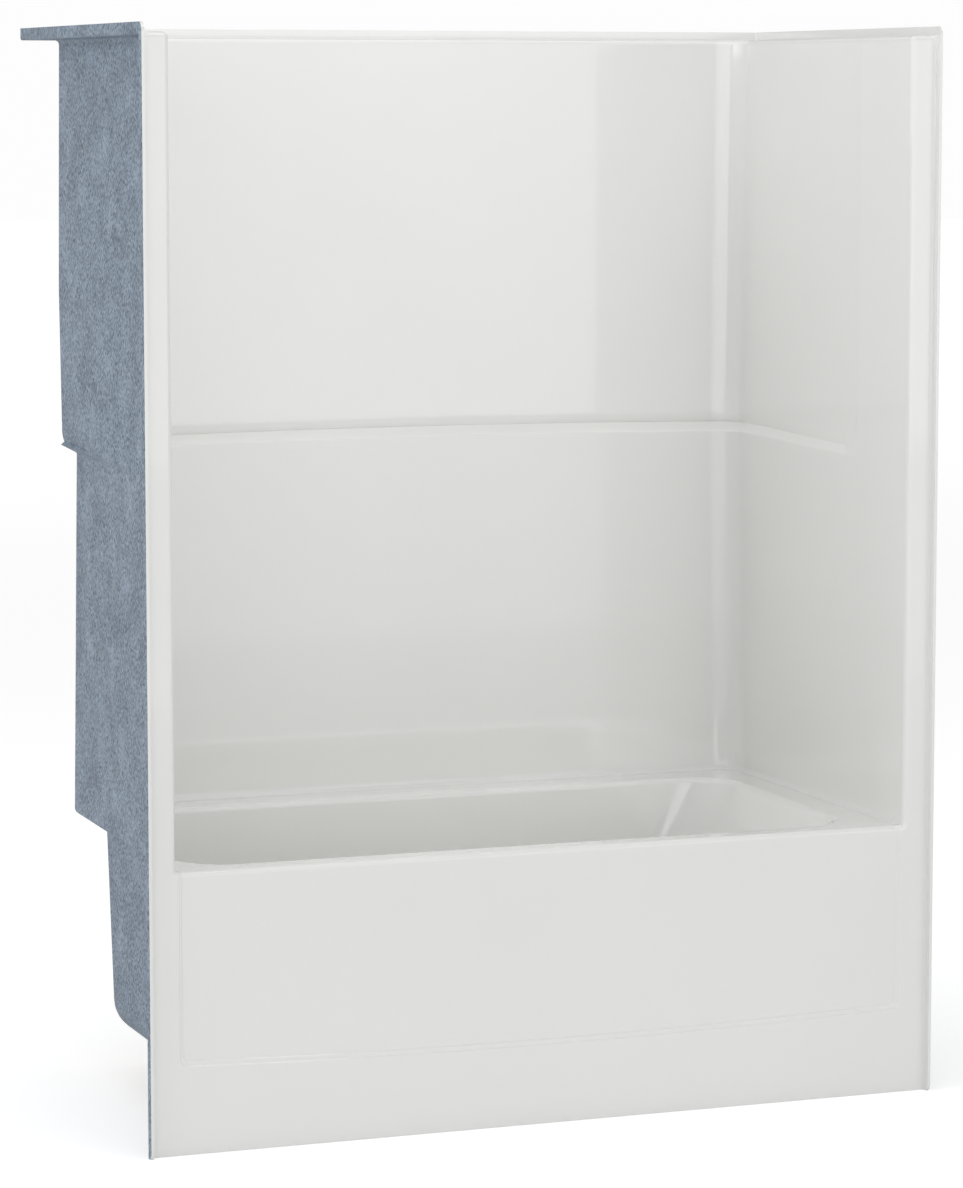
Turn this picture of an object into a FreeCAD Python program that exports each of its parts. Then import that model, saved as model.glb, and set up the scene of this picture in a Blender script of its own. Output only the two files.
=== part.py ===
import FreeCAD, Part
import math
import os
import Sketcher

# One-piece alcove tub and shower, moulded in glass fibre with a white finish skin.
# Millimetres. X runs from the drain end (left) to the sloping end, Y from the open front to the back,
# Z up from the floor. The origin is the middle of the floor under the unit.

SIZES = {
    # Whole unit, over the nailing lip
    "overall_width": 1524,
    "overall_depth": 832,
    "overall_height": 1992,
    # Shell
    "finish_thickness": 2,
    "laminate_thickness": 3.5,
    "finish_trim": 3,
    "overrun": 20,
    # Nailing lip round the outer edges
    "lip_stand": 17,
    "lip_corner_radius": 15,
    "lip_foot_radius": 6,
    # Front columns
    "column_width": 54,
    "column_edge_radius": 9,
    "column_top_radius": 10,
    # Upper bay
    "ledge_edge_radius": 12,
    "back_ledge_width": 39,
    "upper_narrowing_bottom": -4,
    "upper_narrowing_top": 6,
    "recess_start": 199,
    "recess_start_narrowing": 6,
    "cove_radius": 60,
    # Shelf line between the two bays
    "shelf_bottom_height": 1203,
    "shelf_rise": 32,
    "shelf_depth": 27,
    # Lower bay
    "lower_narrowing_bottom": 14,
    "lower_narrowing_top": 26,
    # Tub rim and basin
    "rim_height": 508,
    "rim_wall_radius": 10,
    "rim_front_radius": 10,
    "basin_edge_radius": 10,
    "front_rim_width": 60,
    "back_deck_width": 88,
    "drain_end_inset": 40,
    "slope_end_inset": 82,
    "basin_corner_radius": 95,
    "basin_floor_height": 115,
    "basin_floor_radius": 60,
    "basin_floor_corner_radius": 85,
    "end_wall_lean": 8,
    "backrest_lean": 236,
    "side_lean": 21,
    # Apron panel, sunk in two small steps
    "panel_margin": 60,
    "panel_bottom_height": 161,
    "panel_bottom_bow": 14,
    "panel_step_depth": 2,
    "panel_step_width": 9,
    "panel_corner_radius": 12,
    # Drain hole in the basin floor
    "drain_from_basin_end": 130,
    "drain_hole_radius": 26,
    "drain_dish_radius": 42,
    "drain_dish_depth": 3,
    # Timber and board behind the shell
    "timber_width": 38,
    "timber_thickness": 19,
    "core_thickness": 12,
    "core_edge_gap": 6,
    "core_hole_gap": 26,
    "runner_left_end": 128,
    "runner_side_inset": 16,
    "middle_runner_drain_gap": 120,
    "cross_end_gap": 60,
    "post_end_inset": 225,
    "rail_end_gap": 60,
    "deck_board_gap": 5,
    "deck_board_end_gap": 110,
    "deck_leg_end_inset": 98,
    "rib_end_gap": 202,
    "rib_width": 89,
    "rib_cover_thickness": 2,
    "rib_cover_flange": 28,
    "gusset_thickness": 12,
    "seat_gap": 0.2,
    "screw_length": 57,
    "screw_radius": 2.2,
    "screw_head_radius": 4.2,
    "screw_head_height": 3,
    "screw_play": 0.1,
    "block_height": 64,
    "gusset_low_height": 200,
    "gusset_top_gap": 48,
    "gusset_overhang": 14,
}

BEND_STEPS = 4
SHELF_BEND_STEPS = 3
POST_COUNT = 4
LEG_COUNT = 3
PANEL_STEPS = 2
SCREW_SHARES = (0.3, 0.7)
LOW_RIB_SHARE = 0.5
MIDDLE_RIB_SHARE = 0.29
HIGH_RIB_SHARE = 0.75
SAME_PLACE_SHARE = 1e-8

os.makedirs("parts", exist_ok=True)
doc = FreeCAD.newDocument("tub_and_shower")
sheet = doc.addObject("Spreadsheet::Sheet", "Sizes")
for row, (alias, value) in enumerate(SIZES.items(), start=1):
    sheet.set(f"A{row}", alias)
    sheet.set(f"B{row}", str(value))
    sheet.setAlias(f"B{row}", alias)
doc.recompute()


def size(alias):
    return float(sheet.get(alias))


# Places that several pieces share
half_width = size("overall_width") / 2
half_depth = size("overall_depth") / 2
overrun = size("overrun")
shell = size("finish_thickness") + size("laminate_thickness")
face_y = -half_depth + size("lip_stand")
ledge_z = size("overall_height") - size("lip_stand")
opening_half = half_width - size("column_width")
rim_z = size("rim_height")
upper_back_y = half_depth - size("back_ledge_width")
lower_back_y = upper_back_y - size("shelf_depth")
straight_share = size("recess_start") / (lower_back_y - face_y)
basin_left = -opening_half + size("drain_end_inset")
basin_right = opening_half - size("slope_end_inset")
basin_front = face_y + size("front_rim_width")
basin_back = lower_back_y - size("back_deck_width")
floor_z = size("basin_floor_height")
drain_x = basin_left + size("end_wall_lean") + size("drain_from_basin_end")
basin_middle_y = (basin_front + basin_back) / 2
same_place = size("overall_width") * SAME_PLACE_SHARE


def between(low, high, share):
    return low + (high - low) * share


def rounded_loop(points, radii, level):
    """Closed wire at one level, with an arc in each corner that has a radius."""
    starts = []
    ends = []
    middles = []
    count = len(points)
    for i in range(count):
        corner = FreeCAD.Vector(*points[i], level)
        back = (FreeCAD.Vector(*points[i - 1], level) - corner).normalize()
        ahead = (FreeCAD.Vector(*points[(i + 1) % count], level) - corner).normalize()
        if radii[i] > 0:
            half_turn = back.getAngle(ahead) / 2
            setback = radii[i] / math.tan(half_turn)
            inward = (back + ahead).normalize()
            starts.append(corner + back * setback)
            ends.append(corner + ahead * setback)
            middles.append(corner + inward * (radii[i] / math.sin(half_turn) - radii[i]))
        else:
            starts.append(corner)
            ends.append(corner)
            middles.append(None)
    edges = []
    for i in range(count):
        edges.append(Part.LineSegment(ends[i - 1], starts[i]).toShape())
        if middles[i] is not None:
            edges.append(Part.Arc(starts[i], middles[i], ends[i]).toShape())
    return Part.Wire(edges)


def wall_loop(level, outset, kink_narrowing, back_narrowing, wall_back_y):
    """Plan of a bay at one level: open front, side walls with a kink, back wall with coved corners."""
    front_half = opening_half + outset
    mouth_half = front_half + size("column_edge_radius") + overrun
    edge_y = face_y + min(outset, shell)
    kink_half = opening_half - kink_narrowing + outset
    back_half = opening_half - back_narrowing + outset
    kink_y = face_y + size("recess_start")
    back_y = wall_back_y + outset
    left = [
        (-mouth_half, face_y - overrun),
        (-mouth_half, edge_y),
        (-front_half, edge_y),
        (-kink_half, kink_y),
        (-back_half, back_y),
    ]
    right = [(-x, y) for x, y in reversed(left)]
    edge_radius = size("column_edge_radius") - min(outset, shell)
    cove = size("cove_radius") + outset
    radii = [0, 0, edge_radius, 0, cove]
    return rounded_loop(left + right, radii + radii[::-1], level)


def lower_wall_loop(level, outset, share):
    """Plan of the lower bay; share runs from its foot to the shelf."""
    back_narrowing = between(size("lower_narrowing_bottom"), size("lower_narrowing_top"), share)
    return wall_loop(level, outset, back_narrowing * straight_share, back_narrowing, lower_back_y)


def upper_wall_loop(level, outset, share):
    """Plan of the upper bay; share runs from the shelf to the top ledge."""
    back_narrowing = between(size("upper_narrowing_bottom"), size("upper_narrowing_top"), share)
    return wall_loop(level, outset, size("recess_start_narrowing"), back_narrowing, upper_back_y)


def shelf_loop(level, outset, share):
    """Plan part of the way across the shelf, from the lower bay's top to the upper bay's foot."""
    low_kink = size("lower_narrowing_top") * straight_share
    kink = between(low_kink, size("recess_start_narrowing"), share)
    back = between(size("lower_narrowing_top"), size("upper_narrowing_bottom"), share)
    return wall_loop(level, outset, kink, back, between(lower_back_y, upper_back_y, share))


def bay_space(grow):
    """The air of both bays above the rim, pushed out by grow."""
    foot = size("rim_wall_radius")
    edge = size("ledge_edge_radius")
    shelf_z = size("shelf_bottom_height") - grow
    rise = size("shelf_rise")
    loops = []
    for step in range(BEND_STEPS):
        turn = math.radians(90) * (1 - step / BEND_STEPS)
        level = rim_z + foot - (foot + grow) * math.sin(turn)
        loops.append(lower_wall_loop(level, (foot + grow) * math.cos(turn) - foot, 0))
    loops.append(lower_wall_loop(rim_z + foot, grow, 0))
    loops.append(lower_wall_loop(shelf_z, grow, 1))
    for step in range(1, SHELF_BEND_STEPS + 1):
        turn = math.radians(90) * step / SHELF_BEND_STEPS
        loops.append(shelf_loop(shelf_z + rise / 2 * math.sin(turn), grow, (1 - math.cos(turn)) / 2))
    for step in range(1, SHELF_BEND_STEPS + 1):
        turn = math.radians(90) * step / SHELF_BEND_STEPS
        level = shelf_z + rise / 2 * (2 - math.cos(turn))
        loops.append(shelf_loop(level, grow, (1 + math.sin(turn)) / 2))
    for step in range(BEND_STEPS + 1):
        turn = math.radians(90) * step / BEND_STEPS
        level = ledge_z - edge + (edge - grow) * math.sin(turn)
        loops.append(upper_wall_loop(level, edge - (edge - grow) * math.cos(turn), 1))
    loops.append(upper_wall_loop(ledge_z + overrun, edge, 1))
    return Part.makeLoft(loops, True, True)


def basin_loop(level, outset):
    """Plan of the basin at one level, leaning in towards its floor, pushed out by outset."""
    share = (rim_z - level) / (rim_z - floor_z)
    left = basin_left + size("end_wall_lean") * share - outset
    right = basin_right - size("backrest_lean") * share + outset
    front = basin_front + size("side_lean") * share - outset
    back = basin_back - size("side_lean") * share + outset
    radius = between(size("basin_corner_radius"), size("basin_floor_corner_radius"), share) + outset
    corners = [(left, front), (right, front), (right, back), (left, back)]
    return rounded_loop(corners, [radius] * len(corners), level)


def basin_space(grow):
    """The air of the basin, pushed out by grow, with a rounded edge and a rounded floor."""
    edge = size("basin_edge_radius")
    foot = size("basin_floor_radius")
    loops = [basin_loop(rim_z + overrun, edge)]
    for step in range(BEND_STEPS + 1):
        turn = math.radians(90) * (1 - step / BEND_STEPS)
        level = rim_z - edge + (edge - grow) * math.sin(turn)
        loops.append(basin_loop(level, edge - (edge - grow) * math.cos(turn)))
    for step in range(BEND_STEPS + 1):
        turn = math.radians(90) * step / BEND_STEPS
        level = floor_z + foot - (foot + grow) * math.sin(turn)
        loops.append(basin_loop(level, (foot + grow) * math.cos(turn) - foot))
    return Part.makeLoft(loops, True, True)


def block(low, high):
    """A box between two opposite corners."""
    sides = [b - a for a, b in zip(low, high)]
    return Part.makeBox(*sides, FreeCAD.Vector(*low))


def edges_at(shape, axis, places):
    """Straight edges along one axis whose middle lies at the given other coordinates."""
    found = []
    for edge in shape.Edges:
        box = edge.BoundBox
        low = (box.XMin, box.YMin, box.ZMin)
        high = (box.XMax, box.YMax, box.ZMax)
        others = [i for i in range(3) if i != axis]
        still = all(abs(high[i] - low[i]) < same_place for i in others)
        if still and any(all(abs(low[i] - place[i]) < same_place for i in others) for place in places):
            found.append(edge)
    return found


def front_space(grow):
    """The air in front of the columns and apron, between the side lips."""
    side = half_width - shell + grow
    back = face_y + grow
    space = block((-side, -half_depth - overrun, -overrun), (side, back, ledge_z + overrun * 2))
    corners = [(-side, back, 0), (side, back, 0)]
    return space.makeFillet(size("lip_foot_radius") + grow, edges_at(space, 2, corners))


def top_space(grow):
    """The air above the top ledge, inside the lip."""
    side = half_width - shell + grow
    back = half_depth - shell + grow
    low = ledge_z - grow
    space = block((-side, -half_depth - overrun, low), (side, back, size("overall_height") + overrun))
    along_depth = edges_at(space, 1, [(-side, 0, low), (side, 0, low)])
    along_back = edges_at(space, 0, [(0, back, low)])
    return space.makeFillet(size("lip_foot_radius") + grow, along_depth + along_back)


def panel_space(grow, step):
    """The air of one sunk step of the apron panel, with a bowed lower edge."""
    half = half_width - size("panel_margin") - size("panel_step_width") / 2 * step + grow
    low = size("panel_bottom_height") + size("panel_step_width") * step - grow
    bow = low - size("panel_bottom_bow")
    top = rim_z + overrun
    front = face_y - overrun
    depth = overrun + size("panel_step_depth") * (step + 1) + grow
    corners = [(-half, front, top), (-half, front, low), (half, front, low), (half, front, top)]
    a, b, c, d = [FreeCAD.Vector(*corner) for corner in corners]
    lower = Part.Arc(b, FreeCAD.Vector(0, front, bow), c).toShape()
    sides = [Part.makeLine(a, b), lower, Part.makeLine(c, d), Part.makeLine(d, a)]
    solid = Part.Face(Part.Wire(sides)).extrude(FreeCAD.Vector(0, depth, 0))
    radius = size("panel_corner_radius") - size("panel_step_width") / 2 * step + grow
    return solid.makeFillet(radius, edges_at(solid, 1, [(-half, 0, low), (half, 0, low)]))


def edge_space(grow, radius, plane_y, top, low_x, high_x):
    """The air over a rounded front edge that runs along X, under a flat top."""
    centre_y = plane_y + radius
    centre_z = top - radius
    swing = radius - grow
    start = FreeCAD.Vector(low_x, centre_y - swing, centre_z)
    bend = math.sqrt(0.5)
    middle = FreeCAD.Vector(low_x, centre_y - swing * bend, centre_z + swing * bend)
    end = FreeCAD.Vector(low_x, centre_y, centre_z + swing)
    above = FreeCAD.Vector(low_x, centre_y, top + overrun)
    outside = FreeCAD.Vector(low_x, plane_y - overrun, top + overrun)
    below = FreeCAD.Vector(low_x, plane_y - overrun, centre_z)
    edges = [Part.Arc(start, middle, end).toShape()]
    path = [end, above, outside, below, start]
    edges += [Part.makeLine(p, q) for p, q in zip(path, path[1:])]
    return Part.Face(Part.Wire(edges)).extrude(FreeCAD.Vector(high_x - low_x, 0, 0))


def dish_space(grow):
    """The air of the shallow dish round the drain, pushed out by grow."""
    depth = size("drain_dish_depth")
    top_radius = size("drain_dish_radius") + grow
    low = FreeCAD.Vector(drain_x, basin_middle_y, floor_z - depth - grow)
    return Part.makeCone(top_radius - depth, top_radius, depth + grow, low)


def used_space(grow):
    """All the air on the white side of the shell, pushed into the shell by grow."""
    sunk_y = face_y + size("panel_step_depth") * PANEL_STEPS
    panel_half = half_width - size("panel_margin") - size("panel_step_width") / 2
    lip_inside = half_width - shell + grow
    pieces = [basin_space(grow), dish_space(grow), front_space(grow), top_space(grow)]
    pieces += [panel_space(grow, step) for step in range(PANEL_STEPS)]
    pieces.append(edge_space(grow, size("rim_front_radius"), sunk_y, rim_z, -panel_half, panel_half))
    for low_x, high_x in ((-lip_inside, -opening_half), (opening_half, lip_inside)):
        pieces.append(edge_space(grow, size("column_top_radius"), face_y, ledge_z, low_x, high_x))
    return bay_space(grow).multiFuse(pieces)


def outer_block():
    """The room that the unit fills, with the lip's front corners rounded."""
    low = (-half_width, -half_depth, 0)
    high = (half_width, half_depth, size("overall_height"))
    room = block(low, high)
    front = edges_at(room, 0, [(0, -half_depth, 0), (0, -half_depth, size("overall_height"))])
    return room.makeFillet(size("lip_corner_radius"), front)


def drain_hole():
    """The drain's hole through the dish in the basin floor."""
    low = floor_z - size("drain_dish_depth") - shell - overrun
    centre = FreeCAD.Vector(drain_x, basin_middle_y, low)
    return Part.makeCylinder(size("drain_hole_radius"), overrun * 2 + shell, centre)


def add_shape(name, shape):
    """A piece whose shape is worked out from the sizes."""
    piece = doc.addObject("Part::Feature", name)
    piece.Shape = shape
    piece.Label = name
    piece.Placement = FreeCAD.Placement()
    return piece


def add_shells():
    """The white finish skin and the glass fibre laminate behind it, one moulding."""
    air = used_space(0)
    skin_back = used_space(size("finish_thickness"))
    laminate_back = used_space(shell)
    room = outer_block()
    low_strip = block((-half_width, -half_depth, 0), (half_width, half_depth, size("finish_trim")))
    hole = drain_hole()
    finish = room.cut(low_strip).common(skin_back).cut(air).cut(hole)
    laminate = room.common(laminate_back).cut(skin_back).cut(hole)
    add_shape("finish_shell", finish)
    add_shape("fibreglass_shell", laminate)


# The same places again, as expressions that the bound pieces follow
SHELL = "(Sizes.finish_thickness + Sizes.laminate_thickness)"
FACE_Y = "(Sizes.lip_stand - Sizes.overall_depth / 2)"
SUNK_DEPTH = f"(Sizes.panel_step_depth * {PANEL_STEPS})"
BASIN_LEFT = "(Sizes.column_width + Sizes.drain_end_inset - Sizes.overall_width / 2)"
BASIN_RIGHT = "(Sizes.overall_width / 2 - Sizes.column_width - Sizes.slope_end_inset)"
UPPER_BACK = "(Sizes.overall_depth / 2 - Sizes.back_ledge_width)"
LOWER_BACK = f"({UPPER_BACK} - Sizes.shelf_depth)"
BASIN_FRONT = f"({FACE_Y} + Sizes.front_rim_width)"
BASIN_BACK = f"({LOWER_BACK} - Sizes.back_deck_width)"
BASIN_MIDDLE = f"(({BASIN_FRONT} + {BASIN_BACK}) / 2)"
CORE_INSET = "(Sizes.basin_floor_radius + Sizes.core_edge_gap)"
CORE_LEFT = f"({BASIN_LEFT} + Sizes.end_wall_lean + {CORE_INSET})"
CORE_RIGHT = f"({BASIN_RIGHT} - Sizes.backrest_lean - {CORE_INSET})"
CORE_FRONT = f"({BASIN_FRONT} + Sizes.side_lean + {CORE_INSET})"
CORE_BACK = f"({BASIN_BACK} - Sizes.side_lean - {CORE_INSET})"
CORE_BOTTOM = f"(Sizes.basin_floor_height - {SHELL} - Sizes.core_thickness)"
DRAIN_X = f"({BASIN_LEFT} + Sizes.end_wall_lean + Sizes.drain_from_basin_end)"
RIM_UNDERSIDE = f"(Sizes.rim_height - {SHELL})"
PANEL_BACK = f"({FACE_Y} + {SUNK_DEPTH} + {SHELL})"


def add_box(name, length, width, height, place):
    """A plain rectangular piece whose sides and place follow the sheet."""
    piece = doc.addObject("Part::Box", name)
    piece.Label = name
    for side, expression in zip(("Length", "Width", "Height"), (length, width, height)):
        piece.setExpression(side, expression)
    for axis, expression in zip("xyz", place):
        piece.setExpression(f"Placement.Base.{axis}", expression)
    return piece


def screw_solid(place, direction, play):
    """A countersunk wood screw with its head flush at place, or its hole when play is more than zero."""
    shank = size("screw_radius") + play
    head = size("screw_head_radius") + play
    cone = size("screw_head_height")
    tip = cone
    length = size("screw_length")
    outline = [
        (0, 0),
        (head, 0),
        (shank, cone),
        (shank, length - tip + play),
        (0, length + play),
    ]
    corners = [FreeCAD.Vector(x, 0, z) for x, z in outline]
    section = Part.Face(Part.makePolygon(corners + corners[:1]))
    solid = section.revolve(FreeCAD.Vector(0, 0, 0), FreeCAD.Vector(0, 0, 1), 360)
    turn = FreeCAD.Rotation(FreeCAD.Vector(0, 0, 1), direction)
    solid.Placement = FreeCAD.Placement(place, turn)
    return solid


def add_screws(name, seats):
    """A set of equal screws, and the holes that they need."""
    add_shape(name, Part.makeCompound([screw_solid(place, way, 0) for place, way in seats]))
    play = size("screw_play")
    holes = Part.makeCompound([screw_solid(place, way, play) for place, way in seats])
    return add_shape(f"{name}_holes", holes)


def drill(name, blank, holes):
    """A timber with its screw holes."""
    piece = doc.addObject("Part::Cut", name)
    piece.Label = name
    piece.Base = blank
    piece.Tool = holes
    return piece


def add_body(name):
    body = doc.addObject("PartDesign::Body", name)
    body.Label = name
    return body


def add_sketch(body, name, role):
    sketch = body.newObject("Sketcher::SketchObject", name)
    plane = next(feature for feature in body.Origin.OriginFeatures if feature.Role == role)
    sketch.AttachmentSupport = [(plane, "")]
    sketch.MapMode = "FlatFace"
    return sketch


def draw_outline(sketch, corners):
    """A closed outline of straight lines; each corner is a pair of expressions that its place follows."""
    count = len(corners)
    turns = [math.tau * i / count for i in range(count + 1)]
    ring = [FreeCAD.Vector(math.cos(turn), math.sin(turn), 0) for turn in turns]
    for here, there in zip(ring, ring[1:]):
        sketch.addGeometry(Part.LineSegment(here, there), False)
    for i in range(count):
        sketch.addConstraint(Sketcher.Constraint("Coincident", i, 2, (i + 1) % count, 1))
    for i, (across, up) in enumerate(corners):
        for kind, expression in (("DistanceX", across), ("DistanceY", up)):
            start = sketch.Geometry[i].StartPoint
            value = start.x if kind == "DistanceX" else start.y
            index = sketch.addConstraint(Sketcher.Constraint(kind, -1, 1, i, 1, value))
            sketch.setExpression(f"Constraints[{index}]", expression)


def draw_circle(sketch, across, up, radius):
    """A circle whose centre and radius follow expressions."""
    unit = FreeCAD.Vector(1, 1, 0)
    sketch.addGeometry(Part.Circle(unit, FreeCAD.Vector(0, 0, 1), 1), False)
    for kind, expression in (("DistanceX", across), ("DistanceY", up)):
        index = sketch.addConstraint(Sketcher.Constraint(kind, -1, 1, 0, 3, 1))
        sketch.setExpression(f"Constraints[{index}]", expression)
    index = sketch.addConstraint(Sketcher.Constraint("Radius", 0, 1))
    sketch.setExpression(f"Constraints[{index}]", radius)


def add_floor_core():
    """The plywood core under the basin floor, with clearance round the drain."""
    body = add_body("floor_core")
    outline = add_sketch(body, "core_outline", "XY_Plane")
    corners = [
        (CORE_LEFT, CORE_FRONT),
        (CORE_RIGHT, CORE_FRONT),
        (CORE_RIGHT, CORE_BACK),
        (CORE_LEFT, CORE_BACK),
    ]
    draw_outline(outline, corners)
    pad = body.newObject("PartDesign::Pad", "core_board")
    pad.Profile = outline
    pad.setExpression("Length", "Sizes.core_thickness")
    circle = add_sketch(body, "core_drain_circle", "XY_Plane")
    draw_circle(circle, DRAIN_X, BASIN_MIDDLE, "Sizes.drain_hole_radius + Sizes.core_hole_gap")
    pocket = body.newObject("PartDesign::Pocket", "core_drain_gap")
    pocket.Profile = circle
    pocket.Reversed = True
    pocket.setExpression("Length", "Sizes.core_thickness + Sizes.overrun")
    body.setExpression("Placement.Base.z", CORE_BOTTOM)
    doc.recompute()
    upright = [f"Edge{i + 1}" for i, edge in enumerate(pocket.Shape.Edges) if is_corner(edge)]
    rounding = body.newObject("PartDesign::Fillet", "core_corners")
    rounding.Base = (pocket, upright)
    rounding.setExpression("Radius", "Sizes.basin_floor_corner_radius - Sizes.basin_floor_radius")


def is_corner(edge):
    """True for a straight upright edge."""
    box = edge.BoundBox
    return box.XLength < box.ZLength and box.YLength < box.ZLength and len(edge.Vertexes) == 2


def add_base():
    """Three runners on the floor under the core, held apart by screwed blocks."""
    width = "Sizes.timber_width"
    runner_left = f"({BASIN_LEFT} + Sizes.runner_left_end)"
    front_y = f"({CORE_FRONT} + Sizes.runner_side_inset)"
    back_y = f"({CORE_BACK} - Sizes.runner_side_inset - Sizes.timber_width)"
    middle_y = f"({BASIN_MIDDLE} - Sizes.timber_width / 2)"
    middle_left = f"({DRAIN_X} + Sizes.middle_runner_drain_gap)"
    whole = f"({CORE_RIGHT} - {runner_left})"
    front = add_box("base_runner_front_blank", whole, width, CORE_BOTTOM, (runner_left, front_y, "0"))
    back = add_box("base_runner_back_blank", whole, width, CORE_BOTTOM, (runner_left, back_y, "0"))
    short = f"({CORE_RIGHT} - {middle_left})"
    add_box("base_runner_middle", short, width, CORE_BOTTOM, (middle_left, middle_y, "0"))
    blocks = {}
    left_x = f"({middle_left} + Sizes.cross_end_gap)"
    right_x = f"({CORE_RIGHT} - Sizes.cross_end_gap - Sizes.timber_width)"
    rows = {
        "front": (f"({front_y} + Sizes.timber_width)", middle_y),
        "back": (f"({middle_y} + Sizes.timber_width)", back_y),
    }
    for side, x in (("left", left_x), ("right", right_x)):
        for row, (low_y, high_y) in rows.items():
            gap = f"({high_y} - {low_y})"
            name = f"base_block_{row}_{side}"
            blocks[name] = add_box(f"{name}_blank", width, gap, "Sizes.block_height", (x, low_y, "0"))
    doc.recompute()
    seats = []
    for side in ("left", "right"):
        for row, runner, way in (("front", front, 1), ("back", back, -1)):
            block_box = blocks[f"base_block_{row}_{side}"].Shape.BoundBox
            runner_box = runner.Shape.BoundBox
            y = runner_box.YMin if way > 0 else runner_box.YMax
            for share in SCREW_SHARES:
                z = block_box.ZLength * share
                seats.append((FreeCAD.Vector(block_box.Center.x, y, z), FreeCAD.Vector(0, way, 0)))
    holes = add_screws("base_frame_screws", seats)
    drill("base_runner_front", front, holes)
    drill("base_runner_back", back, holes)
    for name, blank in blocks.items():
        drill(name, blank, holes)


def add_apron_frame():
    """Rails and posts that stiffen the apron and carry the front rim."""
    half = "(Sizes.overall_width / 2 - Sizes.rail_end_gap)"
    width = "Sizes.timber_width"
    thickness = "Sizes.timber_thickness"
    plain_back = f"({FACE_Y} + {SHELL})"
    rail_front = f"({PANEL_BACK} + Sizes.rim_front_radius - {SHELL} + Sizes.seat_gap)"
    rail_bottom = f"({RIM_UNDERSIDE} - Sizes.timber_width)"
    length = f"({half} * 2)"
    bottom = add_box("apron_bottom_rail_blank", length, width, width, (f"-{half}", plain_back, "0"))
    top = add_box("apron_top_rail_blank", length, thickness, width, (f"-{half}", rail_front, rail_bottom))
    top.setExpression("Length", f"{length} - Sizes.column_width")
    top.setExpression("Placement.Base.x", f"Sizes.column_width / 2 - {half}")
    reach = f"({half} - Sizes.column_width / 2 - Sizes.post_end_inset)"
    height = f"({rail_bottom} - Sizes.timber_width)"
    posts = {}
    for i in range(POST_COUNT):
        share = 2 * i / (POST_COUNT - 1) - 1
        x = f"({reach} * {share} - Sizes.timber_thickness / 2)"
        name = f"apron_post_{i + 1}"
        posts[name] = add_box(f"{name}_blank", thickness, width, height, (x, PANEL_BACK, width))
    doc.recompute()
    seats = []
    rail_box = top.Shape.BoundBox
    for blank in posts.values():
        x = blank.Shape.BoundBox.Center.x
        upper = FreeCAD.Vector(x, rail_box.Center.y, rail_box.ZMax)
        lower = FreeCAD.Vector(x, rail_box.Center.y, 0)
        seats.append((upper, FreeCAD.Vector(0, 0, -1)))
        seats.append((lower, FreeCAD.Vector(0, 0, 1)))
    holes = add_screws("apron_frame_screws", seats)
    drill("apron_bottom_rail", bottom, holes)
    drill("apron_top_rail", top, holes)
    for name, blank in posts.items():
        drill(name, blank, holes)


def add_deck_frame():
    """The board under the wide back deck, on legs that stand on the floor."""
    width = "Sizes.timber_width"
    thickness = "Sizes.timber_thickness"
    half = "(Sizes.overall_width / 2 - Sizes.column_width - Sizes.deck_board_end_gap)"
    low_y = f"({BASIN_BACK} + Sizes.basin_edge_radius + Sizes.deck_board_gap)"
    board_z = f"({RIM_UNDERSIDE} - Sizes.timber_thickness)"
    high_y = f"({LOWER_BACK} - Sizes.rim_wall_radius - Sizes.deck_board_gap)"
    sides = (f"({half} * 2)", f"({high_y} - {low_y})", thickness)
    board = add_box("back_deck_board_blank", *sides, (f"-{half}", low_y, board_z))
    leg_y = f"(({low_y} + {high_y}) / 2 - Sizes.timber_width / 2)"
    reach = f"({half} - Sizes.deck_leg_end_inset)"
    legs = {}
    for i in range(LEG_COUNT):
        share = 2 * i / (LEG_COUNT - 1) - 1
        x = f"({reach} * {share} - Sizes.timber_width / 2)"
        name = f"back_deck_leg_{i + 1}"
        legs[name] = add_box(f"{name}_blank", width, width, board_z, (x, leg_y, "0"))
    doc.recompute()
    seats = []
    top = board.Shape.BoundBox.ZMax
    for blank in legs.values():
        centre = blank.Shape.BoundBox.Center
        seats.append((FreeCAD.Vector(centre.x, centre.y, top), FreeCAD.Vector(0, 0, -1)))
    holes = add_screws("deck_leg_screws", seats)
    drill("back_deck_board", board, holes)
    for name, blank in legs.items():
        drill(name, blank, holes)


def add_rib(place, foot, head, share, back):
    """A timber rib across the back of a wall, part of the way up it, and the laminate strip over it."""
    wall_y = f"({back} + {SHELL})"
    length = "(Sizes.overall_width - Sizes.rib_end_gap * 2)"
    left = f"-{length} / 2"
    height = f"({foot} + ({head} - {foot}) * {share})"
    low = f"({height} - Sizes.rib_width / 2)"
    sides = (length, "Sizes.timber_thickness", "Sizes.rib_width")
    add_box(f"back_rib_core_{place}", *sides, (left, wall_y, low))
    body = add_body(f"back_rib_cover_{place}")
    sketch = add_sketch(body, f"rib_section_{place}", "YZ_Plane")
    inner = "Sizes.timber_thickness"
    outer = "(Sizes.timber_thickness + Sizes.rib_cover_thickness)"
    thin = "Sizes.rib_cover_thickness"
    half = "(Sizes.rib_width / 2)"
    wide = "(Sizes.rib_width / 2 + Sizes.rib_cover_thickness)"
    reach = f"({wide} + Sizes.rib_cover_flange)"
    upper = [("0", half), (inner, half)]
    edge = [(outer, wide), (thin, wide), (thin, reach), ("0", reach)]
    turned = [(across, f"-{up}") for across, up in upper]
    turned_edge = [(across, f"-{up}") for across, up in edge]
    outline = upper + turned[::-1] + turned_edge[::-1] + edge
    draw_outline(sketch, outline)
    pad = body.newObject("PartDesign::Pad", f"rib_cover_strip_{place}")
    pad.Profile = sketch
    pad.Midplane = True
    pad.setExpression("Length", length)
    body.setExpression("Placement.Base.y", wall_y)
    body.setExpression("Placement.Base.z", height)


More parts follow.
